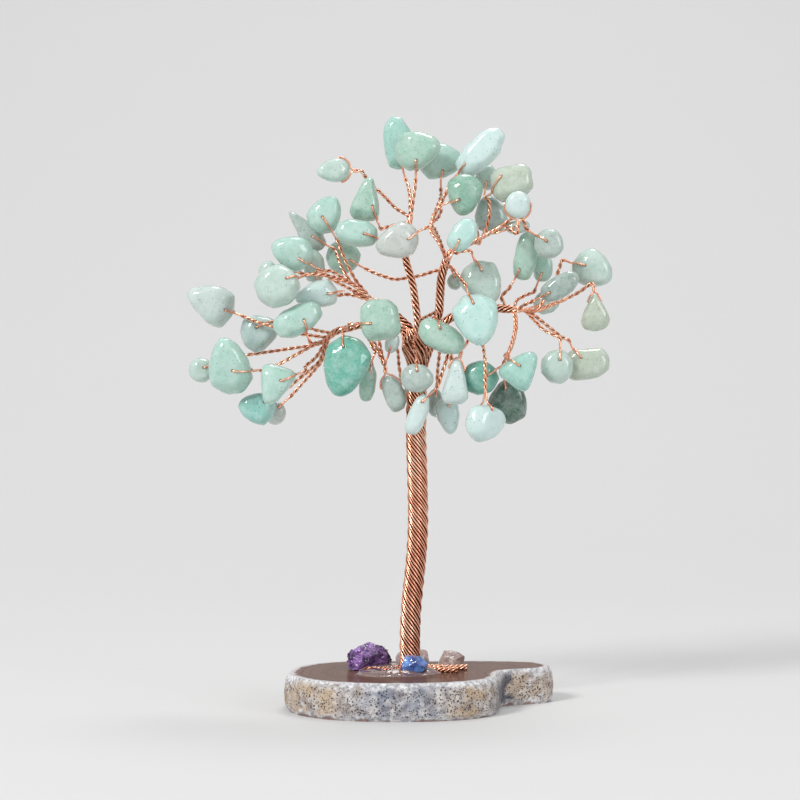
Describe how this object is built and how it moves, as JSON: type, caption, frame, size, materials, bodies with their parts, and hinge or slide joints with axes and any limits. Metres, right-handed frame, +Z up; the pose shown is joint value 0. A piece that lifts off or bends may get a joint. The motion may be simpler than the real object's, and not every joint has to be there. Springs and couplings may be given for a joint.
{
  "type": "gemstone tree ornament",
  "caption": "Table ornament in the shape of a small tree: twisted copper wire trunk and twigs with drilled green stone chips, standing on a polished stone slab.",
  "frame": {"origin": "on the underside of the stone slab, straight below the middle of the trunk's foot", "axes": "+Z up along the trunk, +X to the right and +Y away from someone facing the front"},
  "size_m": [0.1065, 0.0469, 0.1472],
  "materials": {
    "agate": "polished top and underside, rough rind",
    "amethyst": "rough, glassy",
    "sodalite": "tumbled",
    "smoky_quartz": "tumbled, translucent",
    "rose_quartz": "tumbled, translucent",
    "green_stone": "tumbled, translucent, glossy",
    "copper_wire": "bright drawn wire",
    "clear_glue": "clear, glossy"
  },
  "bodies": {
    "tree": {"agate_slab": "agate", "amethyst_chip": "amethyst", "branch_left": "copper_wire", "branch_right": "copper_wire", "branch_top": "copper_wire", "branch_upper_left": "copper_wire", "branch_upper_right": "copper_wire", "glue_pool": "clear_glue", "left_low_chips": "green_stone", "left_low_wires": "copper_wire", "left_up_chips": "green_stone", "left_up_wires": "copper_wire", "limb_far_right": "copper_wire", "limb_low_right": "copper_wire", "limb_up_middle": "copper_wire", "limb_up_right": "copper_wire", "low_chips": "green_stone", "low_wires": "copper_wire", "middle_chips": "green_stone", "middle_left_chips": "green_stone", "middle_left_wires": "copper_wire", "middle_right_chips": "green_stone", "middle_right_wires": "copper_wire", "middle_wires": "copper_wire", "right_chips": "green_stone", "right_low_chips": "green_stone", "right_low_wires": "copper_wire", "right_wires": "copper_wire", "root_front_left": "copper_wire", "root_left": "copper_wire", "root_right_lower": "copper_wire", "root_right_upper": "copper_wire", "rose_quartz_chip": "rose_quartz", "smoky_quartz_chip": "smoky_quartz", "sodalite_chip": "sodalite", "swinging_chip_wires": "copper_wire", "top_chips": "green_stone", "top_wires": "copper_wire", "trunk_bundle": "copper_wire", "trunk_fork": "copper_wire", "upper_right_chips": "green_stone", "upper_right_wires": "copper_wire"},
    "swinging_chip_top_left": {"swinging_chip_top_left": "green_stone"},
    "swinging_chip_middle": {"swinging_chip_middle": "green_stone"},
    "swinging_chip_upper_right": {"swinging_chip_upper_right": "green_stone"},
    "swinging_chip_low_middle": {"swinging_chip_low_middle": "green_stone"},
    "swinging_chip_low_right": {"swinging_chip_low_right": "green_stone"},
    "swinging_chip_far_right": {"swinging_chip_far_right": "green_stone"}
  },
  "joints": [
    {"name": "swing_top_left", "type": "hinge", "parent": "tree", "child": "swinging_chip_top_left", "pos_m": [-0.01737, 0, 0.13235], "axis": [-0.124, 0, 0.9923], "range_deg": [-20, 20]},
    {"name": "swing_middle", "type": "hinge", "parent": "tree", "child": "swinging_chip_middle", "pos_m": [-0.0047, -0.00248, 0.07947], "axis": [-0.9417, 0, -0.3363], "range_deg": [-20, 20]},
    {"name": "swing_upper_right", "type": "hinge", "parent": "tree", "child": "swinging_chip_upper_right", "pos_m": [0.02637, -0.00769, 0.12418], "axis": [1, 0, 0], "range_deg": [-20, 20]},
    {"name": "swing_low_middle", "type": "hinge", "parent": "tree", "child": "swinging_chip_low_middle", "pos_m": [0.01174, -0.00645, 0.08336], "axis": [-0.9848, 0, 0.1738], "range_deg": [-15, 15]},
    {"name": "swing_low_right", "type": "hinge", "parent": "tree", "child": "swinging_chip_low_right", "pos_m": [0.01836, -0.00785, 0.07357], "axis": [0.6428, -0.766, 0], "range_deg": [-20, 20]},
    {"name": "swing_far_right", "type": "hinge", "parent": "tree", "child": "swinging_chip_far_right", "pos_m": [0.04601, 0.00099, 0.10038], "axis": [-0.9975, 0, -0.0712], "range_deg": [-20, 20]}
  ]
}
